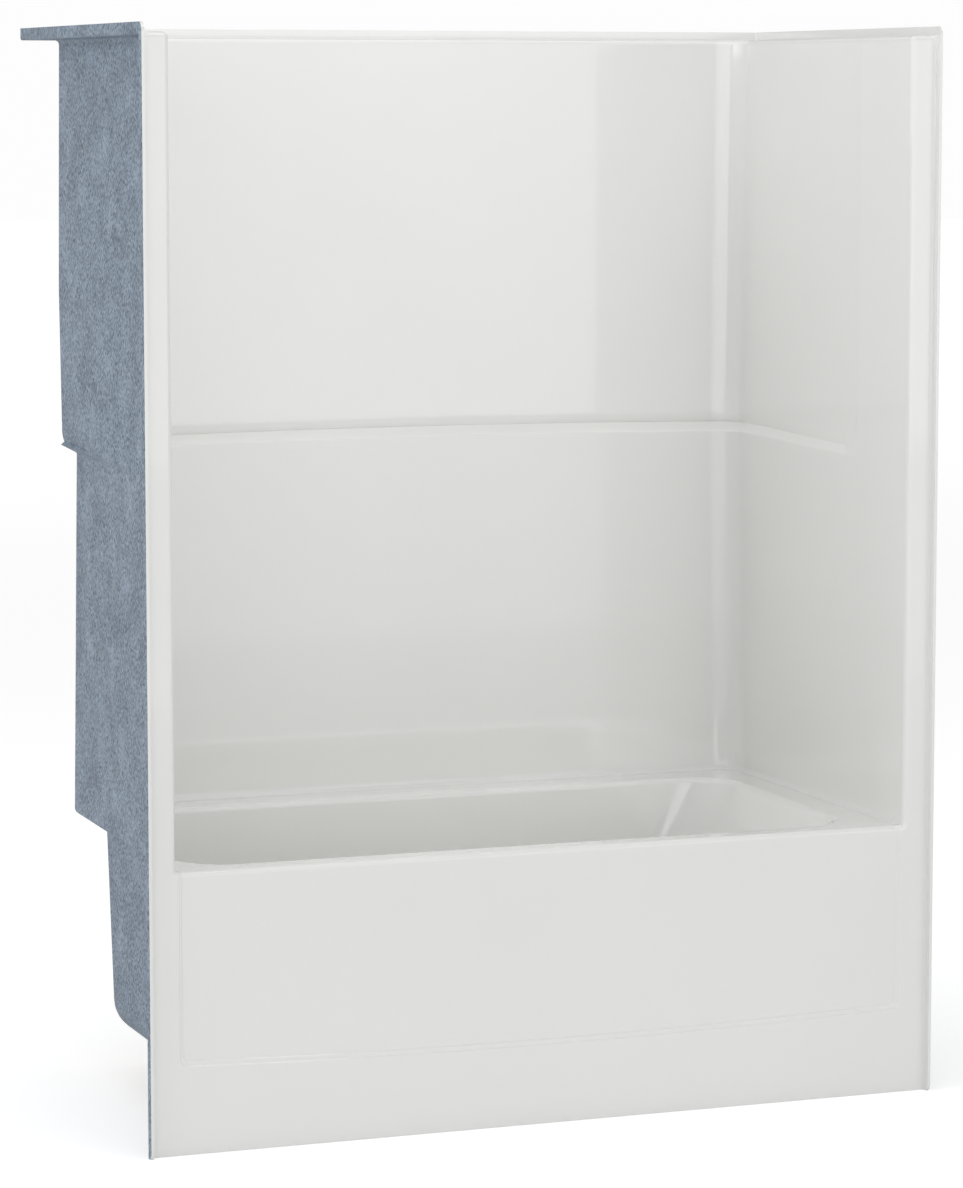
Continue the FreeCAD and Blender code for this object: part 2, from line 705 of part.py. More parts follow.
def add_gusset():
    """The plywood gusset that stands under the sloping end of the basin."""
    body = add_body("backrest_gusset")
    sketch = add_sketch(body, "gusset_outline", "XZ_Plane")
    drop = "(Sizes.rim_height - Sizes.basin_floor_height)"

    def slope_x(height):
        share = f"((Sizes.rim_height - {height}) / {drop})"
        return f"({BASIN_RIGHT} - Sizes.backrest_lean * {share} + {SHELL} + Sizes.seat_gap)"

    low = "Sizes.gusset_low_height"
    high = "(Sizes.rim_height - Sizes.gusset_top_gap)"
    right = f"({BASIN_RIGHT} + Sizes.gusset_overhang)"
    corners = [
        (slope_x(low), "0"),
        (right, "0"),
        (right, high),
        (slope_x(high), high),
        (slope_x(low), low),
    ]
    draw_outline(sketch, corners)
    pad = body.newObject("PartDesign::Pad", "gusset_board")
    pad.Profile = sketch
    pad.Midplane = True
    pad.setExpression("Length", "Sizes.gusset_thickness")
    body.setExpression("Placement.Base.y", BASIN_MIDDLE)


def write_parts():
    """Check every object and write each piece to its own file."""
    doc.recompute()
    for item in doc.Objects:
        if "Invalid" in item.State or "Error" in item.State:
            raise RuntimeError(f"{item.Label} failed: {item.State}")
    kinds = ("Part::Feature", "Part::Box", "Part::Cut", "PartDesign::Body")
    for item in doc.Objects:
        if item.TypeId not in kinds or item.Label.endswith(("_blank", "_holes")):
            continue
        if item.Shape.isNull() or not item.Shape.isValid() or not item.Shape.Solids:
            raise RuntimeError(f"{item.Label} has no sound solid")
        item.Shape.exportStep(f"parts/{item.Label}.step")
        print(item.Label, len(item.Shape.Solids), round(item.Shape.Volume))


add_shells()
add_floor_core()
add_base()
add_apron_frame()
add_deck_frame()
shelf_foot = "Sizes.shelf_bottom_height"
shelf_head = "(Sizes.shelf_bottom_height + Sizes.shelf_rise)"
ledge = "(Sizes.overall_height - Sizes.lip_stand)"
add_rib("low", "Sizes.rim_height", shelf_foot, LOW_RIB_SHARE, LOWER_BACK)
add_rib("middle", shelf_head, ledge, MIDDLE_RIB_SHARE, UPPER_BACK)
add_rib("high", shelf_head, ledge, HIGH_RIB_SHARE, UPPER_BACK)
add_gusset()
write_parts()
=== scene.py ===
import math
import random

import bmesh
import bpy
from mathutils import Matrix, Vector


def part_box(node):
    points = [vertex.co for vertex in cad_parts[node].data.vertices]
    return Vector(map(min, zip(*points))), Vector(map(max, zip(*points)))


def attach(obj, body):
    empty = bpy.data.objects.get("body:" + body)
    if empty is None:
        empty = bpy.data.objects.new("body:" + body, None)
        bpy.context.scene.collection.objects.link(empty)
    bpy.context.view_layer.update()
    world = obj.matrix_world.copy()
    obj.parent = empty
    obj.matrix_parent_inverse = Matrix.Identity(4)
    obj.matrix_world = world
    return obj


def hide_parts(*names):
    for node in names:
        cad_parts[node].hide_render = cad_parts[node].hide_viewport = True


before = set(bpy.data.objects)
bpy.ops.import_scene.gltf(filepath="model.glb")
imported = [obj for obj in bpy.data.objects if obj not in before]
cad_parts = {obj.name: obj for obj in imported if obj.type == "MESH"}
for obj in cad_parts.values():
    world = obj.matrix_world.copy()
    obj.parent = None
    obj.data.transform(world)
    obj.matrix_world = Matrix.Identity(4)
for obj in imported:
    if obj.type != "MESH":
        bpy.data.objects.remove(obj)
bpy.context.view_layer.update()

# Whole unit, over the nailing lip
HALF_WIDTH = 0.762
HALF_DEPTH = 0.416
HEIGHT = 1.992
SKIN = 0.002
SHELL = 0.0055
SKIN_TRIM = 0.0005
LIP_STAND = 0.017
LIP_CORNER = 0.015
FACE_Y = -HALF_DEPTH + LIP_STAND
LEDGE = HEIGHT - LIP_STAND

# Bays
OPENING = 0.708
LOWER_BACK = 0.350
COVE = 0.052
COVE_STEPS = 16
FOOT = 0.010
FOOT_STEPS = 5
MOUTH_Y = (-0.36, -0.26)
MOUTH_SHARE = 0.75
EDGE = 0.0095
EDGE_STEPS = 4
LIP_FOOT = 0.42
LOWER_NARROW = (0.014, 0.026)
UPPER_NARROW = ((-0.004, 0.006), (0.013, 0.006))
RECESS_Y = -0.200
RECESS_NARROW = 0.006
SHELF = 1.1945
SHELF_RISE = 0.039
SHELF_DEPTH = 0.027
SHELF_SOFT = 0.24
SHELF_TURN = 0.49
SHELF_DIP = 0.20
SHELF_SINK = 0.57
SHELF_SPREAD = 0.9
SHELF_BOW = 0.0065
SHELF_DROP = 0.010
CORNER_LIFT = 0.040
LEDGE_STILL = (0.366, 0.400)

# Rim, basin and drain
RIM = 0.508
BASIN_LEFT = -0.668
BASIN_RIGHT = 0.626
BASIN_FRONT = -0.339
BASIN_BACK = 0.262
BASIN_FLOOR = 0.115
BASIN_CORNER = 0.095
BASIN_CORNER_STEPS = 10
BASIN_EDGE = 0.010
FLOOR_CURVE = 0.055
FLOOR_STEPS = 8
FLANGE = 0.018
END_LEAN = 0.008
BACKREST_LEAN = 0.236
SIDE_LEAN = 0.021
DRAIN = (-0.530, -0.0385)
DRAIN_STEPS = 48
DRAIN_REACH = 0.05
DISH = ((0.042, 0.0), (0.0405, 0.0006), (0.0385, 0.0024), (0.0365, 0.003), (0.026, 0.003))
LONG_SIDE = 0.2
LONG_SIDE_CUTS = 5
BASIN_EDGE_STEPS = 9

# Apron panel, sunk in two soft steps
PANEL_HALF = 0.702
PANEL_LOW = 0.161
PANEL_BOW = 0.014
PANEL_STEP = (0.0045, 0.009)
PANEL_SOFT = 0.0016
PANEL_DEPTH = 0.0022
PANEL_CORNER = 0.012
PANEL_FOOT_BOW = 0.12
PANEL_BOW_FADE = (0.19, 0.45)

# Where the bends of the bays and the shelf begin and end
LIP_CORNER_STEPS = 6
NARROW_FADE = (0.720, 0.750)
WALL_HALF = 0.730
LIP_CLEAR = 0.010
MOUTH_FADE = 0.02
SHELF_RUN_OUT = (-0.150, -0.195)
SHELF_RUN_RISE = 2
BEND_LOW = (1.10, 1.17)
BEND_HIGH = (1.28, 1.36)
BEND_HALF = 0.65
BEND_BACK = (0.30, 0.35)
DROP_SPAN = (0.30, -0.15)
DROP_START = (0.02, 0.07)

# Rows and columns of the shell's faces, closest where it bends: first, last and gap
SHELF_ROWS = ((1.189, 1.224, 0.0008), (1.226, 1.250, 0.002), (1.254, 1.316, 0.004))
WALL_ROWS = (0.62, 0.74, 0.86, 0.98, 1.08, 1.14, 1.17, 1.185, 1.35, 1.40, 1.50, 1.62, 1.74, 1.86)
FRONT_COLUMNS = (-0.33, -0.27)
RECESS_COLUMNS = (-0.215, -0.145, 0.005)
BACK_COLUMNS = (-0.10, -0.03, 0.05, 0.13, 0.21)
WIDE_COLUMNS = (-0.63, 0.63, 0.07)
PANEL_SIDES = (0.690, 0.7065, 0.0010)
APRON_LOW_ROWS = (0.06, 0.11)
PANEL_ROWS = (0.144, 0.175, 0.0008)
APRON_HIGH_ROWS = (0.21, 0.27, 0.35, 0.43)

# Angles, in degrees, under which faces count as flat and over which an edge is sharp
FLAT_TURN = 1
SHARP_TURN = 60
SHELL_CRISP = 50
LEVEL_WEIGHT = 50
RUN_SHARES = (0.2, 0.35, 0.8)
TINY = 1e-6


def smooth(value):
    """A soft step from 0 to 1."""
    share = min(max(value, 0.0), 1.0)
    return share * share * (3 - 2 * share)


def mix(low, high, share):
    return low + (high - low) * share


def climb(value, dip):
    """Share of the shelf's depth: a rounded edge, a slope to the crease, then the wall leaning back."""
    share = min(max(value, 0.0), 1.0)
    if share > SHELF_TURN:
        return 1 + dip * ((1 - share) / (1 - SHELF_TURN)) ** 2
    share /= SHELF_TURN
    whole = 1 - SHELF_SOFT / 2
    if share < SHELF_SOFT:
        return (1 + dip) * share * share / (2 * SHELF_SOFT) / whole
    return (1 + dip) * (share - SHELF_SOFT / 2) / whole


# Geometry helpers


def pull(bm, edges, move):
    """Extrudes a run of edges and moves each new corner; returns the new edges along the run."""
    made = bmesh.ops.extrude_edge_only(bm, edges=edges)["geom"]
    corners = [item for item in made if isinstance(item, bmesh.types.BMVert)]
    for corner in corners:
        corner.co = move(corner.co.copy())
    fresh = set(corners)
    return [item for item in made if isinstance(item, bmesh.types.BMEdge) and fresh.issuperset(item.verts)]


def edges_where(bm, test):
    """Edges whose two corners both pass the test."""
    return [edge for edge in bm.edges if all(test(corner.co) for corner in edge.verts)]


def same(a, b):
    return abs(a - b) < TINY


def merge(bm):
    bmesh.ops.remove_doubles(bm, verts=bm.verts, dist=TINY)


def slice_at(bm, axis, places, faces=None):
    """Cuts the given faces, or all of them, across one axis at each place."""
    way = Vector((axis == 0, axis == 1, axis == 2))
    for place in places:
        chosen = [face for face in bm.faces if faces is None or faces(face)]
        geom = dict.fromkeys(chosen)
        for face in chosen:
            geom.update(dict.fromkeys(face.edges))
            geom.update(dict.fromkeys(face.verts))
        bmesh.ops.bisect_plane(bm, geom=list(geom), dist=TINY, plane_co=way * place, plane_no=way)


def steps(low, high, gap):
    count = max(int(round((high - low) / gap)), 1)
    return [low + (high - low) * i / count for i in range(count + 1)]


def sharp_edges(bm):
    """Edges between two faces that turn sharply."""
    least = math.radians(SHARP_TURN)
    return [edge for edge in bm.edges if len(edge.link_faces) == 2 and edge.calc_face_angle() > least]


def rectangle(bm, xs, ys, z):
    """The four corners of a level rectangle, counterclockwise from above."""
    around = ((xs[0], ys[0]), (xs[1], ys[0]), (xs[1], ys[1]), (xs[0], ys[1]))
    return [bm.verts.new((x, y, z)) for x, y in around]


def bevel_edges(bm, edges, reach, segments):
    bmesh.ops.bevel(bm, geom=edges, offset=reach, segments=segments, profile=0.5, material=-1,
                    affect="EDGES", clamp_overlap=False)


def round_corners(bm, corners, reach, segments):
    bmesh.ops.bevel(bm, geom=corners, offset=reach, segments=segments, profile=0.5, material=-1,
                    affect="VERTICES")


def dissolve_flat(bm):
    bmesh.ops.dissolve_limit(bm, angle_limit=math.radians(FLAT_TURN), verts=bm.verts, edges=bm.edges)


def add_mesh_of(bm, other):
    """Adds the faces of another mesh, which is used up."""
    spare = bpy.data.meshes.new("spare_surface")
    other.to_mesh(spare)
    other.free()
    bm.from_mesh(spare)
    bpy.data.meshes.remove(spare)


def place_order(corner):
    return tuple(round(value, 5) for value in corner.co)


def closed_runs(edges):
    """The corners of each closed run among the edges, in order, from the leftmost corner on."""
    links = {}
    for edge in edges:
        a, b = edge.verts
        links.setdefault(a, []).append(b)
        links.setdefault(b, []).append(a)
    runs = []
    while links:
        run = [min(links, key=place_order)]
        ahead = sorted(links.pop(run[0]), key=place_order)
        while ahead:
            run.append(ahead[0])
            ahead = [corner for corner in links.pop(run[-1]) if corner in links]
        runs.append(run)
    return runs


def place_along(run, share):
    """The place at a share of a closed run's length."""
    spans = [(b.co - a.co).length for a, b in zip(run, run[1:] + run[:1])]
    left = share * sum(spans)
    for corner, span in zip(run, spans):
        if left <= span:
            return corner.co
        left -= span
    return run[-1].co


def line_up(first, second):
    """Turns the second closed run so that it starts beside the first and goes the same way round."""
    start = min(range(len(second)), key=lambda i: (second[i].co - first[0].co).length)
    second = second[start:] + second[:start]
    back = second[:1] + second[:0:-1]

    def apart(run):
        return sum((place_along(first, share) - place_along(run, share)).length for share in RUN_SHARES)

    return back if apart(back) < apart(second) else second


def close_between(bm, first, second):
    """Fills the strip between two closed runs that lie side by side; returns its faces."""
    second = line_up(first, second)
    first = first + first[:1]
    second = second + second[:1]
    faces = []
    i = j = 0
    while i < len(first) - 1 or j < len(second) - 1:
        a, b = first[i], second[j]
        nearer = i < len(first) - 1
        if nearer and j < len(second) - 1:
            nearer = (first[i + 1].co - b.co).length <= (second[j + 1].co - a.co).length
        if nearer:
            i += 1
            faces.append(bm.faces.new((a, first[i], b)))
        else:
            j += 1
            faces.append(bm.faces.new((a, second[j], b)))
    return faces


def finish_mesh(bm, name):
    """Turns a finished shape into an object of the scene."""
    mesh = bpy.data.meshes.new(name)
    bm.to_mesh(mesh)
    bm.free()
    piece = bpy.data.objects.new(name, mesh)
    bpy.context.scene.collection.objects.link(piece)
    return piece


def shade(piece, sharp_angle, weighted=True):
    """Smooth shading that keeps edges sharper than an angle crisp, and flat faces flat."""
    mesh = piece.data
    mesh.shade_smooth()
    mesh.set_sharp_from_angle(angle=math.radians(sharp_angle))
    if weighted:
        modifier = piece.modifiers.new("even_faces", "WEIGHTED_NORMAL")
        modifier.keep_sharp = True
        modifier.weight = LEVEL_WEIGHT


# Shell: each surface of it is a cage with rounded edges, at some distance into the shell


def shell_cage(grow, foot):
    """Flat faces of the shell's white side, pushed into the shell by grow, down to foot."""
    bm = bmesh.new()
    side = OPENING + grow
    front = FACE_Y + grow
    back = LOWER_BACK + grow
    rim = RIM - grow
    ledge = LEDGE - grow
    lip = HALF_WIDTH - SHELL + grow
    lip_back = HALF_DEPTH - SHELL + grow
    around = ((-side, front), (-side, back), (side, back), (side, front))
    deck = bm.faces.new([bm.verts.new((x, y, rim)) for x, y in around])
    walls = [edge for edge in deck.edges if not all(same(corner.co.y, front) for corner in edge.verts)]
    top = pull(bm, walls, lambda co: Vector((co.x, co.y, ledge)))

    def outward(co):
        return Vector((math.copysign(lip, co.x), lip_back if same(co.y, back) else front, ledge))

    outer = pull(bm, top, outward)
    pull(bm, outer, lambda co: Vector((co.x, co.y, HEIGHT)))
    add_cage_front(bm, grow, foot)
    dissolve_flat(bm)
    return bm


def add_cage_front(bm, grow, foot):
    """The front columns, the lip along their sides and the apron."""
    side = OPENING + grow
    front = FACE_Y + grow
    rim = RIM - grow
    lip = HALF_WIDTH - SHELL + grow
    for way in (-1, 1):
        corner = edges_where(bm, lambda co: same(co.x, way * side) and same(co.y, front))
        pull(bm, corner, lambda co: Vector((way * lip, co.y, co.z)))
    merge(bm)
    for way in (-1, 1):
        lip_run = edges_where(bm, lambda co: same(co.x, way * lip) and same(co.y, front))
        pull(bm, lip_run, lambda co: Vector((co.x, -HALF_DEPTH, co.z)))
    merge(bm)
    low_front = edges_where(bm, lambda co: same(co.z, rim) and co.y < front + TINY)
    pull(bm, low_front, lambda co: Vector((co.x, co.y, foot)))
    merge(bm)


def round_cage(bm, grow):
    """Rounds the coves, then every other edge of the cage, then the lip's front corners."""
    side = OPENING + grow
    back = LOWER_BACK + grow
    coves = edges_where(bm, lambda co: same(abs(co.x), side) and same(co.y, back))
    upright = [edge for edge in coves if same(edge.verts[0].co.x, edge.verts[1].co.x)]
    bevel_edges(bm, upright, COVE, COVE_STEPS)
    rim = RIM - grow
    foot = [
        edge
        for edge in sharp_edges(bm)
        if all(same(corner.co.z, rim) for corner in edge.verts)
        and any(corner.co.y > FACE_Y + grow + TINY for corner in edge.verts)
    ]
    bevel_edges(bm, foot, FOOT, FOOT_STEPS)
    bevel_edges(bm, sharp_edges(bm), EDGE, EDGE_STEPS)
    tips = [
        corner
        for corner in bm.verts
        if same(corner.co.y, -HALF_DEPTH) and len(corner.link_edges) == 2
        and (same(corner.co.z, HEIGHT) or corner.co.z < SKIN_TRIM + TINY)
    ]
    round_corners(bm, tips, LIP_CORNER, LIP_CORNER_STEPS)


def slice_cage(bm):
    """Cuts the cage into rows and columns where its faces bend."""
    for rows in SHELF_ROWS:
        slice_at(bm, 2, steps(*rows))
    slice_at(bm, 2, WALL_ROWS)
    slice_at(bm, 1, [*FRONT_COLUMNS, *steps(*RECESS_COLUMNS), *BACK_COLUMNS])
    slice_at(bm, 0, steps(*WIDE_COLUMNS))

    def front(face):
        return max(corner.co.y for corner in face.verts) < FACE_Y + EDGE + SHELL

    sides = steps(*PANEL_SIDES)
    slice_at(bm, 0, [-place for place in sides] + sides, front)
    slice_at(bm, 2, [*APRON_LOW_ROWS, *steps(*PANEL_ROWS), *APRON_HIGH_ROWS], front)


def shelf_share(y, z, grow):
    """How far a height is across the shelf's slope, which runs out in a wider curve towards the front."""
    front = min(max((SHELF_RUN_OUT[0] - y) / (SHELF_RUN_OUT[0] - SHELF_RUN_OUT[1]), 0.0), 1.0)
    lift = CORNER_LIFT * (1 - math.sqrt(max(1 - front**2, 0.0)))
    rise = (SHELF_RISE + SHELF_SPREAD * grow) * (1 + SHELF_RUN_RISE * front)
    value = (z - SHELF + SHELF_SINK * grow - lift) / rise
    return climb(value, SHELF_DIP * (1 - front))


def wall_narrowing(right, y, z, grow):
    """How far a side wall stands in from the opening."""
    along = (y - FACE_Y) / (LOWER_BACK - FACE_Y)
    low_share = min(max((z - RIM) / (SHELF - RIM), 0.0), 1.0)
    low = mix(*LOWER_NARROW, low_share) * along
    high_share = min(max((z - SHELF - SHELF_RISE) / (LEDGE - SHELF - SHELF_RISE), 0.0), 1.0)
    if y < RECESS_Y:
        high = RECESS_NARROW * (y - FACE_Y) / (RECESS_Y - FACE_Y)
    else:
        back = mix(*UPPER_NARROW[right], high_share)
        high = mix(RECESS_NARROW, back, (y - RECESS_Y) / (LOWER_BACK - RECESS_Y))
    return mix(low, high, shelf_share(y, z, grow))


def panel_share(x, z):
    """How many of the panel's two steps a place on the apron has gone down."""
    across = abs(x) - PANEL_HALF
    down = PANEL_LOW - z
    depth = 0.0
    for number in range(2):
        dx = across + PANEL_STEP[0] * number + PANEL_CORNER
        dz = down + PANEL_STEP[1] * number + PANEL_CORNER
        beyond = math.hypot(max(dx, 0.0), max(dz, 0.0)) + min(max(dx, dz), 0.0) - PANEL_CORNER
        depth += smooth((PANEL_SOFT - beyond) / (2 * PANEL_SOFT))
    return depth


def tighten_lip_foot(bm, grow):
    """Makes the hollow corner along the foot of the lip smaller than the unit's other rounded edges."""
    lip = HALF_WIDTH - SHELL + grow
    lip_back = HALF_DEPTH - SHELL + grow
    ledge = LEDGE - grow
    front = FACE_Y + grow
    for corner in bm.verts:
        x, y, z = corner.co
        inward, forward, above, ahead = lip - abs(x), lip_back - y, z - ledge, front - y
        if above > TINY and ahead > TINY and inward < TINY:
            continue
        if TINY < inward < EDGE + TINY:
            x = math.copysign(lip - inward * LIP_FOOT, x)
        if TINY < forward < EDGE + TINY:
            y = lip_back - forward * LIP_FOOT
        if TINY < ahead < EDGE + TINY:
            y = front - ahead * LIP_FOOT
        if TINY < above < EDGE + TINY:
            z = ledge + above * LIP_FOOT
        corner.co = (x, y, z)


def square_mouth(bm, grow):
    """Squares the opening's bottom corners, where the fillet at the foot of the side walls runs out."""
    centre = OPENING + grow - FOOT
    level = RIM - grow + FOOT
    for corner in bm.verts:
        x, y, z = corner.co
        out = abs(x) - centre
        down = level - z
        if out <= 0 or down <= 0 or y > MOUTH_Y[1]:
            continue
        reach = math.hypot(out, down)
        share = smooth((MOUTH_Y[1] - y) / (MOUTH_Y[1] - MOUTH_Y[0]))
        share *= MOUTH_SHARE * (1 - smooth((reach - FOOT - EDGE) / MOUTH_FADE))
        wider = mix(1, reach / max(out, down), share)
        corner.co = (math.copysign(centre + out * wider, x), y, level - down * wider)


def rise_over(span, value):
    """A soft step from 0 at the span's first value to 1 at its last."""
    return smooth((value - span[0]) / (span[1] - span[0]))


def lean_in(x, y, z, grow):
    """A place's x once the side walls lean in."""
    inside = min(abs(x) / OPENING, 1.0) * (1 - rise_over(NARROW_FADE, abs(x)))
    along = min(max(y, FACE_Y), LOWER_BACK)
    return x - math.copysign(wall_narrowing(x > 0, along, z, grow) * inside, x)


def sink_back(y, z, grow):
    """A place's y once the upper bay is sunk deeper than the lower."""
    share = min((y - RECESS_Y) / (LOWER_BACK - RECESS_Y), 1.0) * (1 - rise_over(LEDGE_STILL, y))
    return y + SHELF_DEPTH * shelf_share(y, z, grow) * share


def bend_shelf(x, y, z):
    """A place's z once the shelf bows up along the back and drops towards the front."""
    near = rise_over(BEND_LOW, z) * (1 - rise_over(BEND_HIGH, z))
    middle = max(1 - (x / BEND_HALF) ** 2, 0.0) * rise_over(BEND_BACK, y)
    fore = rise_over(DROP_SPAN, y) * rise_over(DROP_START, y - FACE_Y)
    return z + (SHELF_BOW * middle - SHELF_DROP * fore) * near


def bow_panel(x, z):
    """A place's z once the panel's lower edge bows down in its middle."""
    bow = PANEL_BOW * max(1 - (x / PANEL_HALF) ** 2, 0.0)
    return z - bow * smooth(z / PANEL_FOOT_BOW) * (1 - rise_over(PANEL_BOW_FADE, z))


def shape_bays(bm, grow):
    """Leans the side walls in, sinks the recess over the shelf and the panel in the apron."""
    tighten_lip_foot(bm, grow)
    square_mouth(bm, grow)
    for corner in bm.verts:
        x, y, z = corner.co
        size = abs(x)
        if y > FACE_Y + TINY:
            x = lean_in(x, y, z, grow)
        if y > RECESS_Y:
            y = sink_back(y, z, grow)
        if y < HALF_DEPTH - SHELL - LIP_CLEAR and size < WALL_HALF:
            z = bend_shelf(x, y, z)
        if y < FACE_Y + EDGE + SHELL + TINY and size < WALL_HALF and z < RIM + TINY:
            y += PANEL_DEPTH * panel_share(x, z)
            z = bow_panel(x, z)
        corner.co = (x, y, z)


def basin_cage(grow):
    """Basin with a narrow flange round it, upright walls and rounded edges, before it is leaned."""
    bm = bmesh.new()
    rim = RIM - grow
    reach = FLANGE + grow
    xs = (BASIN_LEFT - reach, BASIN_RIGHT + reach)
    ys = (BASIN_FRONT - reach, BASIN_BACK + reach)
    corners = rectangle(bm, xs, ys, rim)
    bm.faces.new(corners)
    round_corners(bm, corners, BASIN_CORNER + reach, BASIN_CORNER_STEPS)
    slice_outline(bm)
    face = max(bm.faces, key=lambda item: item.calc_area())
    bmesh.ops.inset_individual(bm, faces=[face], thickness=FLANGE, use_even_offset=True)
    made = bmesh.ops.extrude_face_region(bm, geom=[face])["geom"]
    floor = [item for item in made if isinstance(item, bmesh.types.BMFace)]
    if face.is_valid:
        bmesh.ops.delete(bm, geom=[face], context="FACES_ONLY")
    drop = RIM - BASIN_FLOOR
    lowered = list({corner for item in floor for corner in item.verts})
    bmesh.ops.translate(bm, verts=lowered, vec=(0, 0, -drop))
    top = [edge for edge in sharp_edges(bm) if same(edge.verts[0].co.z, rim)]
    bevel_edges(bm, top, BASIN_EDGE, BASIN_EDGE_STEPS)
    foot = [edge for edge in sharp_edges(bm) if same(edge.verts[0].co.z, rim - drop)]
    bevel_edges(bm, foot, FLOOR_CURVE, FLOOR_STEPS)
    return bm


def slice_outline(bm):
    """Divides the long straight edges of the basin's outline."""
    long_edges = [edge for edge in bm.edges if edge.calc_length() > LONG_SIDE]
    bmesh.ops.subdivide_edges(bm, edges=long_edges, cuts=LONG_SIDE_CUTS)


def lean_basin(bm):
    """Leans the basin's walls in towards its floor, the right end most."""
    for corner in bm.verts:
        x, y, z = corner.co
        down = max((RIM - z) / (RIM - BASIN_FLOOR), 0.0)
        along = min(max((x - BASIN_LEFT) / (BASIN_RIGHT - BASIN_LEFT), 0.0), 1.0)
        across = min(max((y - BASIN_FRONT) / (BASIN_BACK - BASIN_FRONT), 0.0), 1.0)
        x += down * (END_LEAN * (1 - along) - BACKREST_LEAN * along)
        y += down * SIDE_LEAN * (1 - 2 * across)
        corner.co = (x, y, z)


def add_drain(bm, grow):
    """Fills the basin's flat floor and sinks the drain's shallow dish into it."""
    floor = BASIN_FLOOR - grow
    flat = [face for face in bm.faces if all(same(corner.co.z, floor) for corner in face.verts)]
    bmesh.ops.delete(bm, geom=flat, context="FACES")
    border = [edge for edge in bm.edges if edge.is_boundary and same(edge.verts[0].co.z, floor)]
    ring = bmesh.ops.create_circle(bm, cap_ends=False, radius=DISH[0][0], segments=DRAIN_STEPS)["verts"]
    bmesh.ops.translate(bm, verts=ring, vec=(*DRAIN, floor))
    members = set(ring)
    run = [edge for edge in bm.edges if members.issuperset(edge.verts)]
    bmesh.ops.triangle_fill(bm, use_beauty=True, use_dissolve=False, edges=border + run, normal=(0, 0, 1))
    centre = Vector((*DRAIN, 0))
    for (wide, _), (radius, depth) in zip(DISH, DISH[1:]):
        share = radius / wide

        def inwards(co):
            flat_way = Vector((co.x, co.y, 0)) - centre
            return Vector((centre.x + flat_way.x * share, centre.y + flat_way.y * share, floor - depth))

        run = pull(bm, run, inwards)


def shell_surface(grow, foot):
    """One whole surface of the shell, at a distance into it."""
    bm = shell_cage(grow, foot)
    round_cage(bm, grow)
    slice_cage(bm)
    rim = RIM - grow
    flat = [face for face in bm.faces if all(same(corner.co.z, rim) for corner in face.verts)]
    bmesh.ops.delete(bm, geom=flat, context="FACES")
    shape_bays(bm, grow)
    basin = basin_cage(grow)
    lean_basin(basin)
    add_drain(basin, grow)
    add_mesh_of(bm, basin)
    border = [edge for edge in bm.edges if edge.is_boundary and all(same(c.co.z, rim) for c in edge.verts)]
    close_between(bm, *closed_runs(border))
    return bm


def shell_layer(name, inner, outer, foot):
    """A layer of the shell between two of its surfaces, closed at the lip and at the drain."""
    bm = shell_surface(inner, foot)
    add_mesh_of(bm, shell_surface(outer, foot))
    open_edges = [edge for edge in bm.edges if edge.is_boundary]
    centre = Vector((*DRAIN, BASIN_FLOOR - DISH[-1][1]))
    hole = [edge for edge in open_edges if (edge.verts[0].co - centre).length < DRAIN_REACH]
    lip = [edge for edge in open_edges if edge not in hole]
    for face in close_between(bm, *closed_runs(lip)):
        face.material_index = 1
    close_between(bm, *closed_runs(hole))
    bmesh.ops.recalc_face_normals(bm, faces=bm.faces)
    return finish_mesh(bm, name)


def add_piece(piece, slot, nodes, *materials):
    """Gives a finished piece its materials, hides the nodes it stands for and attaches it to the root body;
    the slot argument is not used.
    """
    for material in materials:
        piece.data.materials.append(material)
    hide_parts(*nodes)
    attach(piece, "root")


# Materials


def shader_of(material):
    return material.node_tree.nodes["Principled BSDF"]


def new_material(name, colour, roughness):
    material = bpy.data.materials.new(name)
    material.use_nodes = True
    shader_of(material).inputs["Base Color"].default_value = (*colour, 1)
    shader_of(material).inputs["Roughness"].default_value = roughness
    return material


def node(material, kind, settings=(), **inputs):
    """Adds a node and links or sets its inputs, given by name or, as i0 and so on, by number."""
    made = material.node_tree.nodes.new(kind)
    for key, value in dict(settings).items():
        setattr(made, key, value)
    for key, value in inputs.items():
        numbered = key[0] == "i" and key[1:].isdigit()
        socket = made.inputs[int(key[1:]) if numbered else key]
        if isinstance(value, bpy.types.NodeSocket):
            material.node_tree.links.new(value, socket)
        else:
            socket.default_value = value
    return made


def place_of(material, scale=(1, 1, 1)):
    """Object coordinates, stretched."""
    source = node(material, "ShaderNodeTexCoord").outputs["Object"]
    return node(material, "ShaderNodeMapping", Vector=source, Scale=scale).outputs["Vector"]


def noise(material, place, scale, detail, **more):
    """A soft random pattern, as a grey level."""
    made = node(material, "ShaderNodeTexNoise", Vector=place, Scale=scale, Detail=detail, **more)
    return made.outputs["Fac"]


def maths(material, operation, *values):
    inputs = {f"i{number}": value for number, value in enumerate(values)}
    return node(material, "ShaderNodeMath", {"operation": operation}, **inputs).outputs[0]


def bump(material, height, strength, distance, below=None):
    """Relief from a grey level, on top of other relief where there is some."""
    made = node(material, "ShaderNodeBump", Height=height, Strength=strength, Distance=distance)
    if below is not None:
        material.node_tree.links.new(below, made.inputs["Normal"])
    return made.outputs["Normal"]


def ramp(material, value, stops):
    """Colours between the given stops, picked by a grey level."""
    made = node(material, "ShaderNodeValToRGB", Fac=value)
    elements = made.color_ramp.elements
    while len(elements) < len(stops):
        elements.new(1.0)
    for element, (place, colour) in zip(elements, stops):
        element.position = place
        element.color = (*colour, 1)
    return made.outputs["Color"]


def greys(*stops):
    return [(place, (level, level, level)) for place, level in stops]


def link(material, value, name):
    material.node_tree.links.new(value, shader_of(material).inputs[name])


